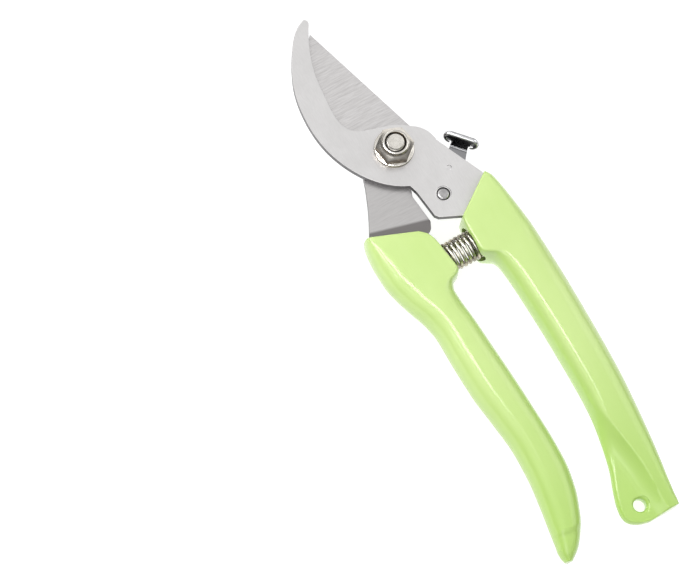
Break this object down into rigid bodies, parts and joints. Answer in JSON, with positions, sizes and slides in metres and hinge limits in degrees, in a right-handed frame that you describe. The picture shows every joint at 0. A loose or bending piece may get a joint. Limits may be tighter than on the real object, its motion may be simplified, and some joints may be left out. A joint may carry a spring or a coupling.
{
  "type": "bypass pruner",
  "caption": "Hand pruner with a curved counter-blade, a bypass cutting blade on a bolted pivot, a coil spring between moulded grips and a thumb catch.",
  "frame": {"origin": "centre of the underside of the closed tool's bounding box, level with the undersides of the grips", "axes": "+Y from the handles to the tip of the jaw, +Z out of the side that carries the pivot nut, +X towards the grip with the hang hole; the pivot axis is parallel to Z at x 0.13 mm, y 45.81 mm"},
  "size_m": [0.053, 0.1982, 0.0167],
  "materials": {
    "hook_steel": "fine satin ground sheet steel",
    "blade_steel": "cross-ground blade steel with visible grain",
    "grip_plastic": "smooth glossy moulded plastic, light lime green",
    "nut_plating": "bright nickel plating",
    "bolt_plating": "bright zinc plating",
    "catch_chrome": "bright chrome",
    "rivet_steel": "plain bright steel",
    "spring_plating": "bright nickel-plated spring wire"
  },
  "bodies": {
    "hook_side": {"hook_plate": "hook_steel", "hook_grip": "grip_plastic", "pivot_bolt": "bolt_plating", "pivot_washer": "bolt_plating", "pivot_nut": "nut_plating", "latch_rivet": "rivet_steel", "return_spring": "spring_plating"},
    "blade_side": {"blade_plate": "blade_steel", "blade_grip": "grip_plastic"},
    "latch": {"latch_lever": "catch_chrome"}
  },
  "joints": [
    {"name": "handle_hinge", "type": "hinge", "parent": "hook_side", "child": "blade_side", "pos_m": [0.00013, 0.04581, 0.00773], "axis": [0, 0, -1], "range_deg": [0, 30], "stiffness_Nm_per_rad": 0.9, "springref_deg": 37.24, "deforming": ["return_spring"]},
    {"name": "latch_hinge", "type": "hinge", "parent": "hook_side", "child": "latch", "pos_m": [0.00623, 0.02481, 0.00668], "axis": [0, 0, 1], "range_deg": [-10, 7]}
  ]
}
